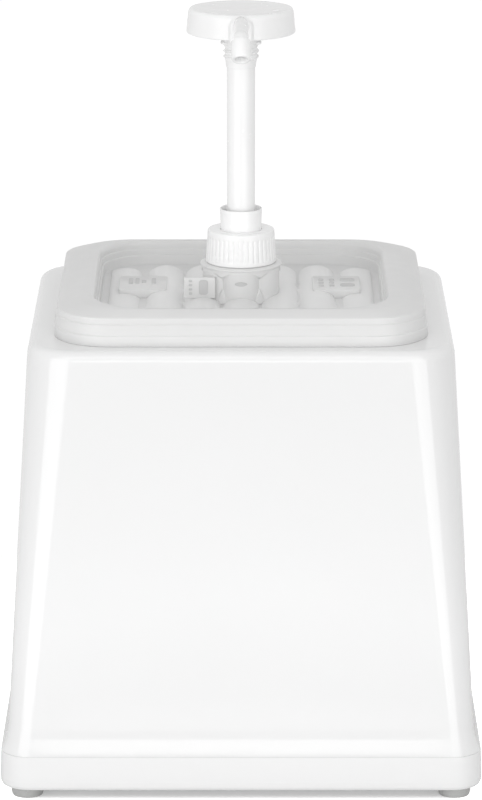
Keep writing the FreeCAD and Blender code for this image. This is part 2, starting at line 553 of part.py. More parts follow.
SOCKET_Y = -22.0                     # the spout's inner end, in the knob's socket
SPOUT_START = Vector(0, SOCKET_Y, SPOUT_Z - (SOCKET_Y + KNOB_RADIUS) * math.tan(math.radians(-SPOUT_SLOPE)))
SPOUT_RUN = (SOCKET_Y - ELBOW_Y) / math.cos(math.radians(SPOUT_SLOPE))
ELBOW = Vector(0, ELBOW_Y, SPOUT_START.z - SPOUT_RUN * math.sin(math.radians(SPOUT_SLOPE)))


def spout():
    """Straight nozzle that turns down at its end into a wider tip."""
    turn = math.radians(TIP_SLOPE)
    down = Vector(0, -math.cos(turn), -math.sin(turn))
    outside = [sloped_rod(SPOUT_RADIUS, SPOUT_START, SPOUT_RUN, SPOUT_SLOPE),
               Part.makeSphere(SPOUT_RADIUS, ELBOW),
               sloped_rod(SPOUT_RADIUS, ELBOW, TIP_BORE_OFFSET, TIP_SLOPE),
               sloped_rod(TIP_RADIUS, ELBOW + down * TIP_OFFSET, TIP_LENGTH, TIP_SLOPE)]
    bores = [sloped_rod(SPOUT_BORE, SPOUT_START, SPOUT_RUN, SPOUT_SLOPE), Part.makeSphere(SPOUT_BORE, ELBOW),
             sloped_rod(SPOUT_BORE, ELBOW, TIP_BORE_OFFSET + 1, TIP_SLOPE),
             sloped_rod(TIP_BORE, ELBOW + down * TIP_BORE_OFFSET, TIP_LENGTH, TIP_SLOPE)]
    return single(all_of(outside).cut(all_of(bores)))


def pump_knob():
    """Round push knob with a dished top, hollow below round a central hub."""
    rim = KNOB_RIM_Z
    corners = [(0, KNOB_BOTTOM_Z + 2), (9.0, KNOB_BOTTOM_Z + 2), (KNOB_RADIUS - 1.2, KNOB_BOTTOM_Z),
               (KNOB_RADIUS, KNOB_BOTTOM_Z + 0.8), (26.6, 379.0), (26.1, 380.7), (24.8, rim),
               (22.6, rim - 0.1), (16.0, rim - 0.6), (8.0, rim - 0.85), (0, rim - 0.9)]
    knob = revolve(corners)
    underside = revolve([(HUB_RADIUS, KNOB_BOTTOM_Z - 1), (24.6, KNOB_BOTTOM_Z - 1),
                         (24.2, 377.2), (20.0, 377.6), (14.0, 377.0), (HUB_RADIUS, 376.6)])
    level = math.tan(math.radians(SPOUT_SLOPE))
    passage_start = Vector(0, 0, SPOUT_START.z - SOCKET_Y * level)
    ridge = sloped_rod(FAIRING_RADIUS, passage_start, FAIRING_REACH, SPOUT_SLOPE)
    ridge = ridge.common(block(-40, 40, -40, -5, KNOB_BOTTOM_Z + 0.4, rim + 0.2))
    knob = knob.cut(underside).fuse(ridge)
    knob = knob.cut(sloped_rod(SPOUT_RADIUS + 0.02, SPOUT_START, 60, SPOUT_SLOPE))
    knob = knob.cut(rod(LOCK_CREST, KNOB_BOTTOM_Z - 1, HUB_FLOOR_Z))
    knob = knob.cut(rod(STEM_BORE, HUB_FLOOR_Z - 1, passage_start.z))
    return single(knob.cut(sloped_rod(SPOUT_BORE, passage_start, -SOCKET_Y + 2, SPOUT_SLOPE)))


# ---- all nodes -----------------------------------------------------------------------
def nodes():
    corners = {"left": -FOOT_X, "right": FOOT_X}
    rows = {"front": -FOOT_Y, "rear": FOOT_Y}
    parts = {
        "housing_shell": housing_shell(),
        "base_tray": base_tray(),
        "base_screws": Part.makeCompound(at_corners(base_screw)),
        "foot_washers": Part.makeCompound(at_corners(foot_washer)),
        "food_container": food_container(),
        "container_lid": container_lid(),
        "lid_gasket": lid_gasket(),
        "neck_washer": neck_washer(),
        "closure_nut": closure_nut(),
        "pump_cylinder": pump_cylinder(),
        "pump_collar": pump_collar(),
        "inlet_valve_cage": inlet_valve_cage(),
        "inlet_ball": valve_ball(INLET_BALL_Z),
        "return_spring": return_spring(),
        "dip_tube": dip_tube(),
        "piston": piston(),
        "piston_ring": piston_ring(),
        "pump_stem": pump_stem(),
        "outlet_valve_seat": outlet_valve_seat(),
        "outlet_ball": valve_ball(OUTLET_BALL_Z),
        "lock_neck": lock_neck(),
        "spout": spout(),
        "pump_knob": pump_knob(),
    }
    for row, y in rows.items():
        for side, x in corners.items():
            parts["foot_%s_%s" % (row, side)] = foot(x, y)
    return parts


os.makedirs("parts", exist_ok=True)
for name, shape in nodes().items():
    shape.exportStep("parts/%s.step" % name)
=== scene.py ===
import math

import bmesh
import bpy
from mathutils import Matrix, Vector


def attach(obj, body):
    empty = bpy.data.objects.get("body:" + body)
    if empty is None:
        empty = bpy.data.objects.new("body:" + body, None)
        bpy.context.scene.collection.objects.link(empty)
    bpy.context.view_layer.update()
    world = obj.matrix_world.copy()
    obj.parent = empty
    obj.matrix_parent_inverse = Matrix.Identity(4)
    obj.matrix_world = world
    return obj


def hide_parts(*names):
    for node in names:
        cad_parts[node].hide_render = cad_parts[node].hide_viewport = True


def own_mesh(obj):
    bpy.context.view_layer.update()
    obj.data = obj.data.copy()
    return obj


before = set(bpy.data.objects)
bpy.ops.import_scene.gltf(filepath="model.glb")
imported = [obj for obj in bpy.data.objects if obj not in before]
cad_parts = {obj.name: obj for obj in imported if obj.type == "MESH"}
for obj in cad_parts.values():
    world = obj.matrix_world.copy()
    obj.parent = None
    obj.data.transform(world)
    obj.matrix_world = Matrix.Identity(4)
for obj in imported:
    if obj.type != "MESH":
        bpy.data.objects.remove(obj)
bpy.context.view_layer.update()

# Condiment pump dispenser. Shapes are given in millimetres in the frame of the row, and
# piece() scales them once. Sections are (width, depth, corner radius).
MM = 0.001
SHARP = math.radians(38)

SEAM_Z, SHELL_TOP_Z = 23.3, 227.5
SHELL_FOOT, SHELL_TOP = (234.2, 220.2, 12.0), (211.0, 197.0, 23.0)
SHELL_WALL = 3.0
OPENING = (161.0, 147.0, 30.0)
RIM_TOP_Z = 230.5
LID = (186.0, 174.0, 28.0)
LID_TOP_Z = 244.8
LID_CROWN, LID_BROW = (162.0, 156.4, 24.0), (182.2, 170.2, 26.1)
RECESS = (144.5, 149.0, 27.0)
FLOOR_Z = 232.3
PLUG = (148.5, 134.5, 25.0)
RIDGE_PITCH, RIDGE_RADIUS, RIDGE_CREST_Z = 19.5, 12.5, 236.2
NECK_BORE, NECK_ROOT, NECK_TOP_Z = 13.6, 14.4, 261.0
LOBE_RADIUS, LOBE_ORBIT, LOBE_TOP_Z, LOBE_BAND = 10.6, 10.2, 249.6, 20.1
PAD_TOP_Z = 236.7
UPRIGHT_PAD = (-21.0, -17.2, 241.4)
NUT_FOOT_Z, NUT_FOOT_RADIUS, NUT_FLUTES = 251.3, 18.0, 40
SPOUT_Z, SPOUT_SLOPE, TIP_SLOPE = 377.9, math.radians(0.5), math.radians(52)
SOCKET_Y, MOUTH_Y, ELBOW_Y = -9.5, -27.4, -68.5
KNOB_RIM_Z = 381.8


# ---- mesh helpers --------------------------------------------------------------------
def piece(name, points, faces, body, material, replaces=(), sharp=SHARP):
    """A shown mesh from points in millimetres. It rides on a body and takes a slot's finish."""
    mesh = bpy.data.meshes.new(name)
    mesh.from_pydata([(x * MM, y * MM, z * MM) for x, y, z in points], [], faces)
    solid = bmesh.new()
    solid.from_mesh(mesh)
    bmesh.ops.remove_doubles(solid, verts=solid.verts, dist=1e-7)
    bmesh.ops.recalc_face_normals(solid, faces=solid.faces)
    solid.to_mesh(mesh)
    solid.free()
    mesh.shade_smooth()
    mesh.set_sharp_from_angle(angle=sharp)
    mesh.materials.append(material)
    obj = bpy.data.objects.new(name, mesh)
    bpy.context.scene.collection.objects.link(obj)
    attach(obj, body)
    if replaces:
        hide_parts(*replaces)
    return obj


def skin(rings, closed=True, caps=False):
    """Points and quads through rings of equal size. closed joins the last ring to the first."""
    count = len(rings[0])
    points = [p for ring in rings for p in ring]
    faces = []
    for i in range(len(rings) if closed else len(rings) - 1):
        a, b = i * count, ((i + 1) % len(rings)) * count
        for k in range(count):
            n = (k + 1) % count
            faces.append((a + k, a + n, b + n, b + k))
    if caps:
        faces.append(tuple(reversed(range(count))))
        last = (len(rings) - 1) * count
        faces.append(tuple(range(last, last + count)))
    return points, faces


def soften(corners, closed=False, steps=4):
    """A path of (a, b) corners with those given as (a, b, reach) rounded over that reach."""
    path = []
    total = len(corners)
    for i, corner in enumerate(corners):
        here = Vector(corner[:2])
        reach = corner[2] if len(corner) > 2 else 0.0
        if not reach or (not closed and i in (0, total - 1)):
            path.append(tuple(here))
            continue
        before, after = Vector(corners[i - 1][:2]), Vector(corners[(i + 1) % total][:2])
        to_before, to_after = before - here, after - here
        start = here + to_before.normalized() * min(reach, to_before.length * 0.49)
        end = here + to_after.normalized() * min(reach, to_after.length * 0.49)
        for s in range(steps + 1):
            t = s / steps
            path.append(tuple(start * (1 - t) ** 2 + here * 2 * t * (1 - t) + end * t * t))
    return path


def rectangle(width, depth, radius, z, corner=10, sides=(4, 4)):
    """Ring round a rectangle with round corners. sides counts the steps along depth and width."""
    x, y = width / 2 - radius, depth / 2 - radius
    ring = []
    for quarter, (cx, cy) in enumerate([(x, y), (-x, y), (-x, -y), (x, -y)]):
        arc = []
        for s in range(corner + 1):
            turn = math.radians(90 * (quarter + s / corner))
            arc.append((cx + radius * math.cos(turn), cy + radius * math.sin(turn), z))
        ring += arc
        steps = sides[1] if quarter % 2 == 0 else sides[0]
        end = arc[-1]
        far = (-end[0], end[1]) if quarter % 2 == 0 else (end[0], -end[1])
        for s in range(1, steps):
            t = s / steps
            ring.append((end[0] + (far[0] - end[0]) * t, end[1] + (far[1] - end[1]) * t, z))
    return ring


def circle_like(ring, radius, z):
    """Circle whose points lie in the same directions as those of a ring."""
    out = []
    for x, y, _ in ring:
        turn = math.atan2(y, x)
        out.append((radius * math.cos(turn), radius * math.sin(turn), z))
    return out


def inset(section, amount):
    """Section drawn in on every side; its corners stay at least 1 mm round."""
    width, depth, radius = section
    return (width - 2 * amount, depth - 2 * amount, max(radius - amount, 1.0))


def between(low, high, share):
    """Values part of the way from one tuple to another."""
    return tuple(a + (b - a) * share for a, b in zip(low, high))


def turned(profile, steps=96, shape=None, x=0.0, y=0.0, closed=True):
    """Rings of a (radius, height) profile turned about Z; shape(r, z, angle) may change them.
    A profile that is not closed starts and ends on the axis."""
    rings = []
    for r, z in profile:
        ring = []
        for k in range(steps):
            turn = 2 * math.pi * k / steps
            rr, zz = shape(r, z, turn) if shape else (r, z)
            ring.append((x + rr * math.cos(turn), y + rr * math.sin(turn), zz))
        rings.append(ring)
    return skin(rings, closed=closed)


def ring_round(point, radius, side, up, steps):
    """Circle round a point in the plane of two unit vectors."""
    ring = []
    for k in range(steps):
        turn = 2 * math.pi * k / steps
        ring.append(tuple(point + radius * (math.cos(turn) * side + math.sin(turn) * up)))
    return ring


def smooth(edge0, edge1, value):
    """Eased step from 0 at edge0 to 1 at edge1."""
    t = min(max((value - edge0) / (edge1 - edge0), 0.0), 1.0)
    return t * t * (3 - 2 * t)


# ---- materials -----------------------------------------------------------------------
def node(tree, kind, **inputs):
    """New shader node with some of its inputs set."""
    made = tree.nodes.new(kind)
    for key, value in inputs.items():
        made.inputs[key.replace("_", " ")].default_value = value
    return made


def surface(name, colour, roughness, *, tint=0.02, grain=900.0, grain_depth=0.00002, cloud=14.0,
            rough_spread=0.06, wear=0.03, metallic=0.0, coat=0.0, ior=1.5, scatter=0.0,
            scatter_reach=(0.004, 0.004, 0.004), stretch=(1, 1, 1), specks=0.0):
    """Principled material with cloudy colour, worn edges, uneven gloss and a moulded grain."""
    made = bpy.data.materials.new(name)
    made.use_nodes = True
    tree = made.node_tree
    shader = tree.nodes["Principled BSDF"]
    shader.inputs["Metallic"].default_value = metallic
    shader.inputs["IOR"].default_value = ior
    shader.inputs["Coat Weight"].default_value = coat
    shader.inputs["Coat Roughness"].default_value = 0.08
    shader.inputs["Subsurface Weight"].default_value = scatter
    shader.inputs["Subsurface Radius"].default_value = scatter_reach
    shader.inputs["Subsurface Scale"].default_value = 1.0
    link = tree.links.new
    place = tree.nodes.new("ShaderNodeTexCoord")
    scaled = tree.nodes.new("ShaderNodeMapping")
    scaled.inputs["Scale"].default_value = stretch
    link(place.outputs["Object"], scaled.inputs["Vector"])

    clouds = node(tree, "ShaderNodeTexNoise", Scale=cloud, Detail=4.0, Roughness=0.55)
    link(scaled.outputs["Vector"], clouds.inputs["Vector"])
    shades = tree.nodes.new("ShaderNodeValToRGB")
    shades.color_ramp.elements[0].position, shades.color_ramp.elements[1].position = 0.3, 0.7
    shades.color_ramp.elements[0].color = [c * (1 - tint) for c in colour] + [1]
    shades.color_ramp.elements[1].color = [min(c * (1 + tint), 1.0) for c in colour] + [1]
    link(clouds.outputs["Fac"], shades.inputs["Fac"])

    shape = tree.nodes.new("ShaderNodeNewGeometry")
    edge = tree.nodes.new("ShaderNodeMapRange")
    for key, value in (("From Min", 0.51), ("From Max", 0.6), ("To Min", 0.0), ("To Max", wear)):
        edge.inputs[key].default_value = value
    link(shape.outputs["Pointiness"], edge.inputs["Value"])
    worn = tree.nodes.new("ShaderNodeMix")
    worn.data_type = "RGBA"
    worn.blend_type = "MULTIPLY"
    worn.inputs["B"].default_value = (0.86, 0.86, 0.85, 1)
    link(edge.outputs["Result"], worn.inputs["Factor"])
    link(shades.outputs["Color"], worn.inputs["A"])
    base = worn.outputs["Result"]
    if specks:
        dots = node(tree, "ShaderNodeTexVoronoi", Scale=520.0)
        link(scaled.outputs["Vector"], dots.inputs["Vector"])
        near = tree.nodes.new("ShaderNodeMapRange")
        for key, value in (("From Min", 0.10), ("From Max", 0.22), ("To Min", specks),
                           ("To Max", 0.0)):
            near.inputs[key].default_value = value
        link(dots.outputs["Distance"], near.inputs["Value"])
        speckled = tree.nodes.new("ShaderNodeMix")
        speckled.data_type = "RGBA"
        speckled.inputs["B"].default_value = (0.72, 0.72, 0.72, 1)
        link(near.outputs["Result"], speckled.inputs["Factor"])
        link(base, speckled.inputs["A"])
        base = speckled.outputs["Result"]
    link(base, shader.inputs["Base Color"])

    handling = node(tree, "ShaderNodeTexNoise", Scale=cloud * 5, Detail=6.0, Roughness=0.7)
    link(scaled.outputs["Vector"], handling.inputs["Vector"])
    gloss = tree.nodes.new("ShaderNodeMapRange")
    for key, value in (("From Min", 0.3), ("From Max", 0.7),
                       ("To Min", max(roughness - rough_spread, 0.03)),
                       ("To Max", roughness + rough_spread)):
        gloss.inputs[key].default_value = value
    link(handling.outputs["Fac"], gloss.inputs["Value"])
    link(gloss.outputs["Result"], shader.inputs["Roughness"])

    fine = node(tree, "ShaderNodeTexNoise", Scale=grain, Detail=3.0, Roughness=0.6)
    link(scaled.outputs["Vector"], fine.inputs["Vector"])
    bump = node(tree, "ShaderNodeBump", Strength=1.0, Distance=grain_depth)
    link(fine.outputs["Fac"], bump.inputs["Height"])
    link(bump.outputs["Normal"], shader.inputs["Normal"])
    return made


WHITE = (0.88, 0.88, 0.88)
HOUSING = surface("housing_gloss", WHITE, 0.12, tint=0.008, grain=260, grain_depth=0.000012,
                  cloud=6, rough_spread=0.03, wear=0.10, coat=0.35)
PUMP = surface("pump_gloss", (0.97, 0.97, 0.97), 0.24, tint=0.008, grain=700, grain_depth=0.00001,
               cloud=20,
               rough_spread=0.05, wear=0.12)
LID_MAT = surface("lid_natural", (0.77, 0.77, 0.767), 0.36, tint=0.015, grain=1500,
                  grain_depth=0.000015, cloud=22, rough_spread=0.08, wear=0.16, scatter=0.2)
# Lit copy of the lid plastic: the ridges are painted lighter than the rest of the lid as a painted
# highlight, and their satin finish is a little rougher.
RIDGE_PAINTED_LIGHTER = surface("lid_ridge_satin_painted_lighter", (0.86, 0.86, 0.857), 0.42, tint=0.012, grain=1500,
                    grain_depth=0.000005, cloud=22, rough_spread=0.06, wear=0.10, scatter=0.2)
TUB = surface("container_natural", (0.83, 0.835, 0.83), 0.40, tint=0.02, grain=1200,
              grain_depth=0.00002,
              cloud=12, rough_spread=0.08, wear=0.12, scatter=0.3)
NATURAL = surface("natural_moulded", (0.84, 0.84, 0.82), 0.36, tint=0.02, grain=1400,
                  grain_depth=0.000012, cloud=30, scatter=0.25, wear=0.1)
PISTON = surface("piston_moulded", (0.80, 0.81, 0.81), 0.38, tint=0.02, grain=1600, cloud=40,
                 wear=0.15)
SEAL = surface("seal_silicone", (0.74, 0.74, 0.73), 0.55, tint=0.03, grain=2200,
               grain_depth=0.00003, cloud=40,
               scatter=0.2)
RUBBER = surface("foot_rubber_matt", (0.52, 0.52, 0.515), 0.72, tint=0.07, grain=2400,
                 grain_depth=0.00005,
                 cloud=90, rough_spread=0.1, wear=0.4, ior=1.45, specks=0.25)
STEEL = surface("screw_zinc", (0.60, 0.61, 0.62), 0.32, tint=0.05, grain=3000, metallic=1.0,
                cloud=160,
                rough_spread=0.1, wear=0.2)
WIRE = surface("spring_wire_drawn", (0.62, 0.62, 0.63), 0.26, tint=0.05, grain=2600, metallic=1.0,
               cloud=120,
               stretch=(1, 1, 6))
BALL = surface("valve_ball_polished", (0.72, 0.72, 0.73), 0.08, tint=0.02, grain=2000,
               grain_depth=0.000003,
               metallic=1.0, cloud=80, rough_spread=0.03)
# Raised marks moulded in the lid plastic, painted a darker grey as painted shade of their relief.
MARK_PAINTED_SHADE = surface("lid_mark_painted_shade", (0.62, 0.62, 0.62), 0.5, tint=0.03, grain=1500, cloud=60, wear=0.1)

for name, material in {
    "base_tray": HOUSING, "base_screws": STEEL, "foot_washers": STEEL, "lid_gasket": SEAL,
    "neck_washer": SEAL, "inlet_valve_cage": NATURAL, "dip_tube": NATURAL, "inlet_ball": BALL,
    "piston": PISTON, "piston_ring": SEAL, "outlet_valve_seat": NATURAL, "outlet_ball": BALL,
}.items():
    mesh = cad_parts[name].data
    mesh.materials.clear()
    mesh.materials.append(material)


# ---- housing -------------------------------------------------------------------------
def shell_section(z, drawn_in=0.0):
    """Section of the tapered shell at a height."""
    share = (z - SEAM_Z) / (SHELL_TOP_Z - SEAM_Z)
    return inset(between(SHELL_FOOT, SHELL_TOP, share), drawn_in) + (z,)


def housing_shell():
    """Tapered cover: flare, taper, rounded top edge, rolled opening and the inside of the wall."""
    sections = [shell_section(SEAM_Z + 0.02, -2.7), shell_section(SEAM_Z + 0.12, -2.85)]
    for s in range(1, 13):
        t = s / 12
        sections.append(shell_section(SEAM_Z + 14 * t, -2.9 * (1 - t) ** 2))
    sections += [shell_section(z) for z in (50, 70, 95, 120, 145, 170, 195, 210)]
    for s in range(11):
        turn = math.radians(9 * s)
        sections.append(shell_section(SHELL_TOP_Z - 5 * (1 - math.sin(turn)),
                                      5 * (1 - math.cos(turn))))
    for reach, z in soften([(-8, SHELL_TOP_Z), (0, SHELL_TOP_Z, 2.2), (0, 215.5, 0.8),
                            (-2.2, 215.5, 0.8), (-2.2, 224.5, 1.0), (-8, 224.5)], steps=6):
        sections.append(inset(OPENING, reach) + (z,))
    for reach, z in soften([(12, 224.5), (3, 224.5, 3.0), (3, 200)], steps=5):
        sections.append(shell_section(z, reach))
    sections += [shell_section(z, SHELL_WALL) for z in (160, 110, 60, SEAM_Z + 0.02)]
    points, faces = skin([rectangle(*s, corner=16, sides=(10, 10)) for s in sections])
    return piece("housing_shell_moulded", points, faces, "housing", HOUSING,
                 ["housing_shell"])


def foot(name, x, y):
    """Turned rubber foot with a ringed tread and a counterbored screw pocket."""
    tread = []
    for r in (7.4, 6.6, 5.8):
        tread += [(r, 0.0), (r - 0.3, 0.0), (r - 0.4, 0.35), (r - 0.6, 0.35)]
    profile = [(7.7, 5.4), (8.0, 5.4), (8.0, 2.0), (7.9, 1.3)] + tread + [(4.9, 0.0), (4.3, 0.1),
                                                                          (4.1, 0.4), (4.1, 3.0),
                                                                    (2.05, 3.0), (2.05, 5.4)]
    points, faces = turned(profile, 64, x=x, y=y)
    return piece(name + "_tread", points, faces, "housing", RUBBER, [name])


# ---- container -----------------------------------------------------------------------
def food_container():
    """Gastronorm tub: rounded foot, taper, stacking shoulder and a rolled flat rim."""
    foot_section, top_section = (134.0, 120.0, 24.0), (158.0, 144.0, 28.0)
    foot_z = RIM_TOP_Z - 200.0

    def wall(z, drawn_in):
        share = (z - foot_z) / 200.0
        extra = 1.6 * (1 - smooth(198.5, 200.5, z))
        return inset(between(foot_section, top_section, share), drawn_in + extra) + (z,)

    outer = [inset(foot_section, 14) + (foot_z,)]
    for s in range(9):
        turn = math.radians(90 * s / 8)
        outer.append(wall(foot_z + 6 * (1 - math.cos(turn)),
                          6 * (1 - math.sin(turn)) - 1.6 * (1 - s / 8)))
    outer += [wall(z, 0) for z in (60, 100, 140, 180, 197, 198.5, 199.0, 199.5, 200.0, 200.5, 202,
                                   215)]
    outer += [wall(SHELL_TOP_Z - 1.5, 0.0), wall(SHELL_TOP_Z, -0.8)]
    rim = (176.0, 162.0, 25.0)
    for reach, z in soften([(4, SHELL_TOP_Z), (0, SHELL_TOP_Z, 0.8), (0, RIM_TOP_Z, 0.8),
                            (4, RIM_TOP_Z)], steps=4):
        outer.append(inset(rim, reach) + (z,))
    inner = [inset(top_section, r) + (z,) for r, z in
             ((0.6, RIM_TOP_Z), (1.4, RIM_TOP_Z - 0.2), (2.1, RIM_TOP_Z - 0.8),
              (2.4, RIM_TOP_Z - 2))]
    inner += [wall(z, 2.4) for z in (215, 202, 200.5, 200.0, 199.5, 199.0, 198.5, 197, 180, 140,
                                     100, 60)]
    for s in range(8, -1, -1):
        turn = math.radians(90 * s / 8)
        inner.append(wall(foot_z + 2.4 + 6 * (1 - math.cos(turn)), 2.4 + 6 * (1 - math.sin(turn))))
    inner.append(inset(foot_section, 18) + (foot_z + 2.4,))
    rings = [rectangle(*s, corner=12, sides=(6, 6)) for s in outer + inner]
    points, faces = skin(rings, closed=False, caps=True)
    return piece("food_container_tub", points, faces, "container", TUB,
                 ["food_container"])


# ---- lid -----------------------------------------------------------------------------
def lid_body():
    """Cap ring, sunk panel and plug lip as one wall; the panel is open below the neck."""
    corner, sides = 14, (10, 10)

    def ring(section, z):
        return rectangle(*section, z, corner=corner, sides=sides)

    rings = []
    wall = soften([(6, FLOOR_Z), (0.9, FLOOR_Z, 1.6), (0.8, 237.3, 0.3), (0.15, 237.6, 0.2),
                   (0.0, 240.4, 0.2),
                   (-0.5, 240.7, 0.2), (-0.6, 242.8, 0.5), (-1.6, LID_TOP_Z, 1.0),
                   (-3.0, LID_TOP_Z)], steps=4)
    panel_edge = ring(inset(RECESS, 6), FLOOR_Z)
    rings += [circle_like(panel_edge, 15.0, FLOOR_Z), circle_like(panel_edge, 45.0, FLOOR_Z)]
    rings += [ring(inset(RECESS, reach), z) for reach, z in wall]
    rings.append(ring(inset(LID_CROWN, 1.0), LID_TOP_Z))
    for s in range(9):
        t = s / 8
        rings.append(ring(between(LID_CROWN, LID_BROW, t), LID_TOP_Z - 0.08 - 3.0 * t ** 1.15))
    skirt = soften([(1.9, 241.7), (1.5, 241.5, 0.5), (1.45, 238.6, 0.3), (0.9, 238.2, 0.4),
                    (0.75, 233.1, 0.3),
                    (0.0, 232.6, 0.4), (0.0, 227.58, 0.12), (2.2, 227.58, 0.4), (2.2, 233, 1.0),
                    (2.3, 239.0, 1.0), (6.0, 240.6, 1.2), (7.5, 241.4)], steps=4)[1:]
    rings += [ring(inset(LID, reach), z) for reach, z in skirt]
    rings += [ring(inset(RECESS, reach), z) for reach, z in
              soften([(-4.6, 242.2), (-2.4, 242.2, 0.8), (-2.2, RIM_TOP_Z, 0.6),
                      (-1.0, RIM_TOP_Z)], steps=3)]
    plug = soften([(-1.0, RIM_TOP_Z), (0, RIM_TOP_Z, 0.5), (0, 229.0, 0.2), (0.8, 229.0, 0.2),
                   (0.8, 226.0, 0.2),
                   (0, 226.0, 0.2), (0, 221.5, 0.8), (2.0, 221.5, 0.6), (2.0, RIM_TOP_Z, 1.0),
                   (8, RIM_TOP_Z)], steps=3)
    rings += [ring(inset(PLUG, reach), z) for reach, z in plug]
    rings += [circle_like(panel_edge, 45.0, RIM_TOP_Z), circle_like(panel_edge, 15.0, RIM_TOP_Z)]
    points, faces = skin(rings)
    return piece("lid_cap_and_panel", points, faces, "lid", LID_MAT,
                 ["container_lid"])


def ridge_height(x):
    """Top of the round ridges across the panel; the outer halves of the last two are flatter."""
    k = max(-3, min(3, round(x / RIDGE_PITCH)))
    centre, crest, radius = k * RIDGE_PITCH, RIDGE_CREST_Z, RIDGE_RADIUS
    if abs(k) == 3:
        centre, crest = math.copysign(3 * RIDGE_PITCH + 0.6, k), RIDGE_CREST_Z - 1.5
        radius = 26.0 if abs(x) > abs(centre) else RIDGE_RADIUS
    off = min(abs(x - centre), 11.0)
    return max(crest - radius + math.sqrt(radius ** 2 - off ** 2), 231.9)


def lid_ridges():
    """Seven round ridges that run from front to back on the panel, open round the neck."""
    edge = rectangle(134.2, 109.4, 1.2, 0, corner=3, sides=(80, 160))
    hole = circle_like(edge, 16.0, 0)
    rings = []
    for s in range(31):
        t = s / 30
        ring = []
        for (ax, ay, _), (bx, by, _) in zip(hole, edge):
            x, y = ax + (bx - ax) * t, ay + (by - ay) * t
            ring.append((x, y, ridge_height(x)))
        rings.append(ring)
    rings.append([(x * 1.0015, y * 1.0015, ridge_height(x) - 0.1) for x, y, _ in edge])
    rings.append([(x * 1.003, y * 1.003, ridge_height(x) - 0.35) for x, y, _ in edge])
    rings.append([(x * 1.006, y * 1.006, 231.6) for x, y, _ in edge])
    rings.append([(x, y, 231.6) for x, y, _ in hole])
    points, faces = skin(rings)
    return piece("lid_ridges", points, faces, "lid", RIDGE_PAINTED_LIGHTER,
                 sharp=math.radians(50))


def lobed_radius(z, turn):
    """Radius of the six arched pillars round the neck, with pointed webs between their feet."""
    step = math.radians(60)
    off = (turn - math.radians(30) + step / 2) % step - step / 2
    side = LOBE_ORBIT * math.sin(off)
    pillar = LOBE_ORBIT * math.cos(off) + math.sqrt(LOBE_RADIUS ** 2 - side ** 2)
    arch_z = LOBE_TOP_Z - 3.4 * (off / (step / 2)) ** 2
    radius = LOBE_BAND + (pillar - LOBE_BAND) * smooth(arch_z + 0.1, arch_z - 0.9, z)
    rise = (z - FLOOR_Z) / 8.0
    if 0 <= rise < 1:
        half = 0.15 * (1 - rise ** 1.8)
        radius = max(radius, 19.4 * smooth(half + 0.02, half - 0.02, step / 2 - abs(off)))
    return radius


def lid_neck():
    """Tower of arched pillars, neck ring and threaded neck, with the pump's bore through it."""
    rows = [(18.0, 231.4 + 0.35 * s) for s in range(53)]
    rows += soften([(LOBE_BAND, 249.7), (20.7, 249.75, 0.2), (20.75, 250.5, 0.4),
                    (18.5, 251.15, 0.4),
                    (16.0, 251.2, 0.3), (NECK_ROOT, 251.2, 0.2), (NECK_ROOT, 251.5)], steps=3)
    rows += [(NECK_ROOT, 251.6 + 0.25 * s) for s in range(34)]
    rows += soften([(NECK_ROOT, 260.2), (NECK_ROOT, NECK_TOP_Z, 0.5), (NECK_BORE, NECK_TOP_Z, 0.3),
                    (NECK_BORE, 231.4)])

    def shape(r, z, turn):
        if r == 18.0:
            return lobed_radius(z, turn), z
        if r == NECK_ROOT and 251.6 <= z <= 260.0:
            phase = (z - 252.6 - 3.0 * turn / (2 * math.pi)) / 3.0
            crest = max(0.0, 1 - abs(phase - round(phase)) * 3.2)
            ends = smooth(251.6, 252.8, z) * smooth(260.0, 258.8, z)
            return r + 0.8 * min(crest * 1.6, 1.0) * ends, z
        return r, z

    points, faces = turned(rows, 288, shape)
    return piece("lid_neck_tower", points, faces, "lid", LID_MAT,
                 sharp=math.radians(50))


def slab(x0, x1, y0, y1, low, top, radius=1.6, edge=0.35):
    """Flat plate with round corners and a softened top edge, as rings."""
    cx, cy = (x0 + x1) / 2, (y0 + y1) / 2
    rings = []
    for drawn_in, z in ((0.1, low), (0.0, low + 0.2), (0.0, top - edge),
                        (edge * 0.3, top - edge * 0.3), (edge, top)):
        ring = rectangle(x1 - x0 - 2 * drawn_in, y1 - y0 - 2 * drawn_in,
                         max(radius - drawn_in, 0.2), z, corner=4, sides=(2, 2))
        rings.append([(x + cx, y + cy, h) for x, y, h in ring])
    return rings


def several(parts):
    """Points and faces of several closed shapes as one mesh."""
    points, faces = [], []
    for some_points, some_faces in parts:
        start = len(points)
        points += some_points
        faces += [tuple(i + start for i in face) for face in some_faces]
    return points, faces


def pad_bar(cx, cy, width, depth, top):
    """Raised bar of a plain mark on a pad's top."""
    return slab(cx - width / 2, cx + width / 2, cy - depth / 2, cy + depth / 2, top - 0.2,
                top + 0.25,
                radius=min(width, depth) * 0.3, edge=0.12)


def stood_up(rings):
    """Rings of a plate drawn flat round (0, 0), stood up to face the front as the upright pad."""
    x, y, z = UPRIGHT_PAD
    return [[(px + x, y - pz, py + z) for px, py, pz in ring] for ring in rings]


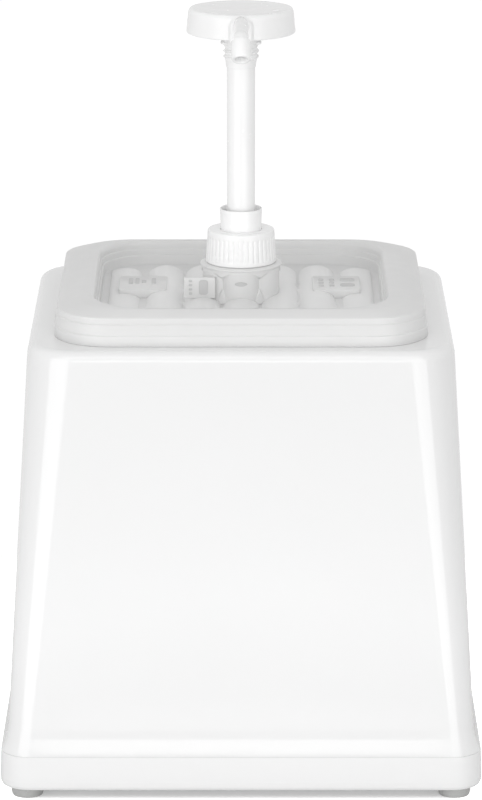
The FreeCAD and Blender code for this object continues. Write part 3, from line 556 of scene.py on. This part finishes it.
def lid_pads():
    """Two flat pads on the ridges and one upright pad at the tower, with plain generic marks."""
    top = PAD_TOP_Z
    plates = [slab(-62.5, -38, -3, 28, 232.0, top), slab(36.5, 61, -3, 28, 232.0, top)]
    plates.append(stood_up(slab(-8, 8, -5.8, 5.0, -2.6, 0.6, radius=0.8)))
    points, faces = several([skin(rings, closed=False, caps=True) for rings in plates])
    piece("lid_pads", points, faces, "lid", LID_MAT)
    marks = [pad_bar(x, 16.0, width, 12.0, top) for x,
             width in ((-56.5, 2.2), (-53.2, 2.0), (-44.8, 2.2))]
    marks += [pad_bar(-49.8, 15.0, 2.4, 5.0, top)]
    marks += [pad_bar(x, y, 2.6, 4.0, top) for x in (41.0, 46.5) for y in (6.0, 12.5, 19.0)]
    marks += [pad_bar(54.5, y, 7.5, 6.5, top) for y in (7.5, 19.0)]
    marks += [stood_up(pad_bar(-4.6, up, 1.8, 1.2, 0.6)) for up in (-3.2, -1.0, 1.2, 3.4)]
    marks.append(stood_up(pad_bar(2.0, 0.0, 4.6, 7.6, 0.6)))
    points, faces = several([skin(rings, closed=False, caps=True) for rings in marks])
    piece("lid_pad_marks", points, faces, "lid", MARK_PAINTED_SHADE)


def lobe_mark():
    """Small oval moulding mark on the front pillar."""
    rings = []
    for share, lift in ((1.0, -0.3), (1.0, 0.05), (0.85, 0.2), (0.45, 0.05), (0.1, 0.02)):
        ring = []
        for k in range(28):
            turn = 2 * math.pi * k / 28
            x, up = 3.2 * share * math.cos(turn), 1.1 * share * math.sin(turn)
            ring.append((x, -LOBE_ORBIT - math.sqrt(LOBE_RADIUS ** 2 - x * x) - lift, 243.6 + up))
        rings.append(ring)
    points, faces = skin(rings, closed=False, caps=True)
    piece("lid_oval_mark", points, faces, "lid", MARK_PAINTED_SHADE)


# ---- pump ----------------------------------------------------------------------------
def closure_nut():
    """Tapered nut with forty rounded flutes between a plain crown and a plain foot band."""
    def skin_radius(z):
        return NUT_FOOT_RADIUS - (z - NUT_FOOT_Z) * 1.1 / 16.8

    low, high = 253.3, 264.9
    outer = soften([(skin_radius(252.6), 252.6), (18.0, 251.3, 0.6), (16.6, 251.3, 0.3)],
                   steps=3)[::-1]
    rows = outer[:-1]
    rows += [(skin_radius(z), z) for z in (252.4, 252.8, 253.1, 253.4, 253.8, 254.4, 256, 258, 260,
                                           262, 263.6,
                                          264.2, 264.6, 264.9, 265.3, 265.9)]
    rows += soften([(skin_radius(266.2), 266.2), (skin_radius(268.1), 268.1, 1.1),
                    (10.5, 268.1, 0.4), (10.5, 266.5, 0.2),
                    (16.1, 266.5, 0.6), (16.1, 252.0, 0.3), (16.6, 251.3)], steps=5)

    def shape(r, z, turn):
        if r > 16.62 and low - 0.4 < z < high + 0.5:
            flute = (0.5 - 0.5 * math.cos(NUT_FLUTES * turn)) ** 3
            ends = smooth(low - 0.3, low + 0.7, z) * smooth(high + 0.4, high - 0.9, z)
            return r - 0.38 * flute * ends, z
        return r, z

    points, faces = turned(rows, 400, shape)
    piece("closure_nut_fluted", points, faces, "nut", PUMP, ["closure_nut"],
          sharp=math.radians(60))


def pump_collar():
    """Guide bush with a chamfered mouth above the nut."""
    profile = soften([(7.2, 264.1), (15.4, 264.1, 0.2), (15.4, 266.4, 0.3), (10.25, 266.4, 0.2),
                      (10.7, 278.8, 0.5),
                      (10.2, 278.8, 0.3), (9.45, 276.2, 0.6), (9.45, 267.3, 0.4),
                      (7.2, 267.3, 0.3)], closed=True, steps=4)
    points, faces = turned(profile, 96)
    piece("pump_collar_bush", points, faces, "pump_body", PUMP, ["pump_collar"])


def pump_cylinder():
    """Barrel with flange, two stiffening beads, valve pocket and ribbed dip-tube spigot."""
    outline = [(2.6, 118, 0.2), (4.0, 118, 0.3)]
    for z in (120.5, 123.5):
        outline += [(4.0, z - 0.6, 0.1), (3.92, z, 0.2), (3.98, z + 0.3, 0.1)]
    outline += [(4.0, 128, 0.3), (7.0, 131, 0.5), (7.0, 134, 0.6), (13.0, 138, 1.2)]
    for z in (200.0, 240.0):
        outline += [(13.0, z - 1.5, 0.3), (12.8, z - 1.0, 0.3), (12.8, z + 1.0, 0.3),
                    (13.0, z + 1.5, 0.3)]
    outline += [(13.0, 262.5, 0.3), (15.4, 262.5, 0.3), (15.4, 264.1, 0.3), (11.0, 264.1, 0.2),
                (11.0, 140, 0.3),
                (4.5, 140, 0.3), (4.5, 132.2, 0.3), (2.6, 130, 0.3)]
    points, faces = turned(soften(outline, closed=True, steps=3), 80)
    piece("pump_cylinder_barrel", points, faces, "pump_body", NATURAL,
          ["pump_cylinder"])


def return_spring():
    """Round-wire compression spring with closed ends."""
    low, high, coil, wire = 142.5, 245.1, 8.6, 0.86
    path = []
    for s in range(601):
        t = s / 600
        turn = 2 * math.pi * 11 * t
        z = low + (high - low) * (t + 0.0175 * math.sin(4 * math.pi * t))
        path.append(Vector((coil * math.cos(turn), coil * math.sin(turn), z)))
    rings = []
    for i, point in enumerate(path):
        along = (path[min(i + 1, 600)] - path[max(i - 1, 0)]).normalized()
        out = Vector((point.x, point.y, 0)).normalized()
        up = along.cross(out).normalized()
        rings.append(ring_round(point, wire, out, up, 10))
    points, faces = skin(rings, closed=False, caps=True)
    spring = piece("return_spring_coil", points, faces, "pump_body", WIRE,
                   ["return_spring"])
    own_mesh(spring)


def pump_stem():
    """Hollow stem that carries the outlet valve in its foot."""
    profile = soften([(3.5, 262.5, 0.2), (3.5, 366, 0.2), (7.1, 366, 0.4), (7.1, 250, 0.4),
                      (4.6, 250, 0.2), (4.6, 262.5, 0.3)], closed=True, steps=3)
    points, faces = turned(profile, 72)
    piece("pump_stem_tube", points, faces, "head", PUMP, ["pump_stem"])


def lock_neck():
    """Neck under the knob with its double-start lock thread and two stop lugs."""
    lug = 10.3
    rows = soften([(7.15, 351.5), (7.5, 351.5, 0.2), (7.75, 354.3, 0.6), (8.05, 355.2, 0.4),
                   (8.05, 355.5)], steps=3)
    rows += [(8.05, 355.6 + 0.2 * s) for s in range(29)]
    rows += soften([(8.05, 361.6), (8.6, 362.2, 0.4), (8.7, 362.9, 0.1), (9.3, 363.0)], steps=3)
    rows += [(lug, 363.5), (lug, 363.9), (lug, 364.3), (10.0, 364.6)]
    rows += soften([(8.9, 364.65), (8.9, 371.0, 0.2), (3.5, 371.0, 0.2), (3.5, 366.1, 0.2),
                    (7.15, 366.1, 0.2), (7.15, 351.5)], steps=3)[:-1]

    def shape(r, z, turn):
        if r == 8.05 and 355.6 <= z <= 361.3:
            phase = (z - 356.9 - 5.6 * turn / (2 * math.pi)) / 2.8
            crest = max(0.0, 1 - abs(phase - round(phase)) * 2.9)
            ends = smooth(355.5, 356.3, z) * smooth(361.4, 360.6, z)
            return r + 1.0 * smooth(0, 1, crest) * ends, z
        if r > 8.95:
            return 8.8 + (r - 8.8) * smooth(0.5, 0.38, abs(math.sin(turn))), z
        return r, z

    points, faces = turned(rows, 144, shape)
    piece("lock_neck_threaded", points, faces, "head", PUMP, ["lock_neck"],
          sharp=math.radians(55))




def spout_rings(path, radii):
    """Circles round a path in the plane x = 0, each square to the path there."""
    rings = []
    for i, (point, radius) in enumerate(zip(path, radii)):
        along = (path[min(i + 1, len(path) - 1)] - path[max(i - 1, 0)]).normalized()
        side = Vector((1, 0, 0))
        up = side.cross(along)
        rings.append(ring_round(point, radius, side, up, 48))
    return rings


def spout():
    """Straight nozzle, slimmer inside the knob, that bends down into a wider sleeve."""
    level = Vector((0, -math.cos(SPOUT_SLOPE), -math.sin(SPOUT_SLOPE)))
    down = Vector((0, -math.cos(TIP_SLOPE), -math.sin(TIP_SLOPE)))
    mouth = Vector((0, MOUTH_Y, SPOUT_Z))
    start = mouth + level * ((MOUTH_Y - SOCKET_Y) / -level.y)
    elbow = mouth + level * ((MOUTH_Y - ELBOW_Y) / -level.y)
    straight = [(0.0, 2.3), (0.3, 2.45), (14.6, 2.45), (14.9, 3.5), (15.3, 3.6), (24, 3.6),
                (34, 3.6), (44, 3.6), (54, 3.6)]
    path = [start + level * distance for distance, _ in straight]
    radii = [radius for _, radius in straight]
    for t in (0.0, 0.125, 0.25, 0.375, 0.5):
        path.append(elbow - level * 3.2 * (1 - t) ** 2 + down * 3.2 * t * t)
        radii.append(3.6)
    rings = spout_rings(path, radii)

    sleeve = [(1.25, 3.62), (1.25, 4.62), (1.3, 4.74), (1.45, 4.8), (5.0, 4.8), (9.4, 4.75),
              (10.6, 4.68), (11.1, 4.45), (11.3, 4.0), (11.3, 3.5), (11.15, 3.12), (10.8, 2.95),
              (7.0, 2.8), (3.4, 2.3)]
    flats = spout_rings([elbow + down * k for k in range(len(sleeve))], [1.0] * len(sleeve))
    for (distance, radius), flat in zip(sleeve, flats):
        middle = sum((Vector(v) for v in flat), Vector()) / len(flat)
        centre = elbow + down * distance
        rings.append([tuple(centre + (Vector(v) - middle) * radius) for v in flat])

    bores = [1.9 if point.y > mouth.y + 4 else 2.3 for point in path]
    rings += spout_rings(path, bores)[::-1]
    points, faces = skin(rings)
    piece("spout_nozzle", points, faces, "head", PUMP, ["spout"],
          sharp=math.radians(30))


def pump_knob():
    """Dished push knob: raised rim, skirt, fairing for the spout and a hollow underside."""
    rim = KNOB_RIM_Z
    dish = [(r, rim - 1.6 * (1 - (r / 24.2) ** 2)) for r in (0.0, 2.0, 4.0, 7.0, 10.0, 13.0, 16.0,
                                                             18.5, 20.5, 22.0, 23.2)]
    top = dish + [(24.0, rim - 0.03), (24.7, rim), (25.3, rim - 0.2), (25.8, rim - 0.6),
                  (26.2, rim - 1.2), (26.45, rim - 1.9), (26.58, rim - 2.6)]
    side = [(26.65 + 0.7 * (378.4 - z) / 8.2, z) for z in [378.7 - 0.5 * k for k in range(16)]]
    under = soften([(27.37, 370.6), (27.4, 369.6, 0.4), (26.9, 369.3, 0.4), (24.8, 369.5, 0.5),
                    (24.3, 376.9, 1.2),
                    (20.0, 377.4, 1.0), (14.0, 376.9, 1.0), (11.3, 376.4, 0.8), (11.2, 370.8, 0.4),
                    (9.06, 370.8, 0.3),
                    (9.06, 371.05, 0.05), (3.5, 371.05, 0.1), (3.5, 376.0, 0.5), (0.0, 376.0)],
                   steps=4)

    def shape(r, z, turn):
        x, y = r * math.cos(turn), r * math.sin(turn)
        if z > rim - 3:
            z -= 0.7 * smooth(0, 25, y)
        if y < 0 and r > 24.6:
            width = math.hypot(x / 6.4, max(0.0, z - 375.8) / 5.9)
            r += 1.5 * (1 - smooth(0.82, 1.0, width)) * smooth(28.2, 26.4,
                                                               r) + 0.5 * (1 - smooth(0.7, 0.95,
                                                                                      width))
        return r, z

    points, faces = turned(top + side + under, 480, shape, closed=False)
    piece("pump_knob_dished", points, faces, "head", PUMP, ["pump_knob"],
          sharp=math.radians(40))


# ---- studio --------------------------------------------------------------------------
TABLE_RADIUS = 0.34
SENSOR = 36.0
LENS = SENSOR * 4512.9 / 800.0
CAMERA_PLACE, CAMERA_TILT = (0, -2.242, 0.7663), 0.2567
SURROUND_FRONT, SURROUND_REAR = 0.24, 0.82
BOX_DISTANCE = 2.0
# name, azimuth and elevation in degrees, width and height in metres, radiance
BOXES = (("box_left", -34, 5, 1.6, 2.3, 1.65), ("box_right", 26, 5, 1.2, 2.3, 1.65),
         ("box_middle", 0, 11, 0.55, 0.7, 1.8),
         ("box_top", 0, 48, 1.8, 1.0, 1.15))


def table_top():
    """Round white table top that glows to the camera and darkens where the sky is hidden."""
    floor_mat = bpy.data.materials.new("studio_white")
    floor_mat.use_nodes = True
    shader = floor_mat.node_tree.nodes["Principled BSDF"]
    shader.inputs["Base Color"].default_value = (0.8, 0.8, 0.8, 1)
    shader.inputs["Roughness"].default_value = 0.9
    shader.inputs["Emission Color"].default_value = (1, 1, 1, 1)
    tree = floor_mat.node_tree
    # Painted shadow: ambient occlusion dims the table's glow to the camera under and around the
    # object.
    open_sky = tree.nodes.new("ShaderNodeAmbientOcclusion")
    open_sky.inputs["Distance"].default_value = 0.3
    glow = tree.nodes.new("ShaderNodeMapRange")
    glow.interpolation_type = "SMOOTHSTEP"
    for key, value in (("From Min", 0.08), ("From Max", 0.30), ("To Min", 0.25), ("To Max", 0.9)):
        glow.inputs[key].default_value = value
    tree.links.new(open_sky.outputs["AO"], glow.inputs["Value"])
    first = tree.nodes.new("ShaderNodeLightPath")
    strength = tree.nodes.new("ShaderNodeMix")
    strength.data_type = "FLOAT"
    strength.inputs["A"].default_value = 0.07
    tree.links.new(first.outputs["Is Camera Ray"], strength.inputs["Factor"])
    tree.links.new(glow.outputs["Result"], strength.inputs["B"])
    tree.links.new(strength.outputs["Result"], shader.inputs["Emission Strength"])
    mesh = bpy.data.meshes.new("studio_table")
    around = [(TABLE_RADIUS * math.cos(math.pi * k / 60),
               TABLE_RADIUS * math.sin(math.pi * k / 60), 0)
              for k in range(120)]
    mesh.from_pydata(around, [], [tuple(range(120))])
    mesh.materials.append(floor_mat)
    table = bpy.data.objects.new("studio_table", mesh)
    bpy.context.scene.collection.objects.link(table)


def surround():
    """White background, seen brighter than the light it gives, which grows towards the rear."""
    world = bpy.data.worlds.new("studio")
    bpy.context.scene.world = world
    world.use_nodes = True
    tree = world.node_tree
    back = tree.nodes["Background"]
    back.inputs["Color"].default_value = (1, 1, 1, 1)
    place = tree.nodes.new("ShaderNodeTexCoord")
    axes = tree.nodes.new("ShaderNodeSeparateXYZ")
    tree.links.new(place.outputs["Generated"], axes.inputs["Vector"])
    dim = tree.nodes.new("ShaderNodeMapRange")
    dim.interpolation_type = "SMOOTHSTEP"
    for key, value in (("From Min", -0.7), ("From Max", 0.5), ("To Min", SURROUND_FRONT),
                       ("To Max", SURROUND_REAR)):
        dim.inputs[key].default_value = value
    tree.links.new(axes.outputs["Y"], dim.inputs["Value"])
    seen = tree.nodes.new("ShaderNodeLightPath")
    mix = tree.nodes.new("ShaderNodeMix")
    mix.data_type = "FLOAT"
    mix.inputs["B"].default_value = 1.02
    tree.links.new(seen.outputs["Is Camera Ray"], mix.inputs["Factor"])
    tree.links.new(dim.outputs["Result"], mix.inputs["A"])
    tree.links.new(mix.outputs["Result"], back.inputs["Strength"])


def soft_boxes():
    """Rectangular lights that face the object and that the camera can't see."""
    for name, azimuth, elevation, width, height, radiance in BOXES:
        light = bpy.data.lights.new(name, "AREA")
        light.shape = "RECTANGLE"
        light.size, light.size_y = width, height
        light.energy = radiance * math.pi * width * height
        lamp = bpy.data.objects.new(name, light)
        bpy.context.scene.collection.objects.link(lamp)
        a, e = math.radians(azimuth), math.radians(elevation)
        target = Vector((0, 0, 0.2))
        lamp.location = target + BOX_DISTANCE * Vector((math.sin(a) * math.cos(e),
                                                        -math.cos(a) * math.cos(e), math.sin(e)))
        lamp.rotation_euler = (target - lamp.location).to_track_quat("-Z", "Y").to_euler()
        lamp.visible_camera = False


def main_camera():
    """Long lens that looks slightly down on the front."""
    data = bpy.data.cameras.new("camera")
    data.sensor_fit = "VERTICAL"
    data.sensor_height = SENSOR
    data.sensor_width = SENSOR
    data.lens = LENS
    data.clip_start, data.clip_end = 0.05, 30
    camera = bpy.data.objects.new("camera", data)
    bpy.context.scene.collection.objects.link(camera)
    camera.location = CAMERA_PLACE
    camera.rotation_euler = (math.pi / 2 - CAMERA_TILT, 0, 0)
    bpy.context.scene.camera = camera
    bpy.context.scene.view_settings.view_transform = "Standard"


housing_shell()
for row, y in (("front", -100.0), ("rear", 100.0)):
    for side, x in (("left", -107.0), ("right", 107.0)):
        foot("foot_%s_%s" % (row, side), x, y)
food_container()
lid_body()
lid_ridges()
lid_neck()
lid_pads()
lobe_mark()
closure_nut()
pump_collar()
pump_cylinder()
return_spring()
pump_stem()
lock_neck()
spout()
pump_knob()
table_top()
surround()
soft_boxes()
main_camera()
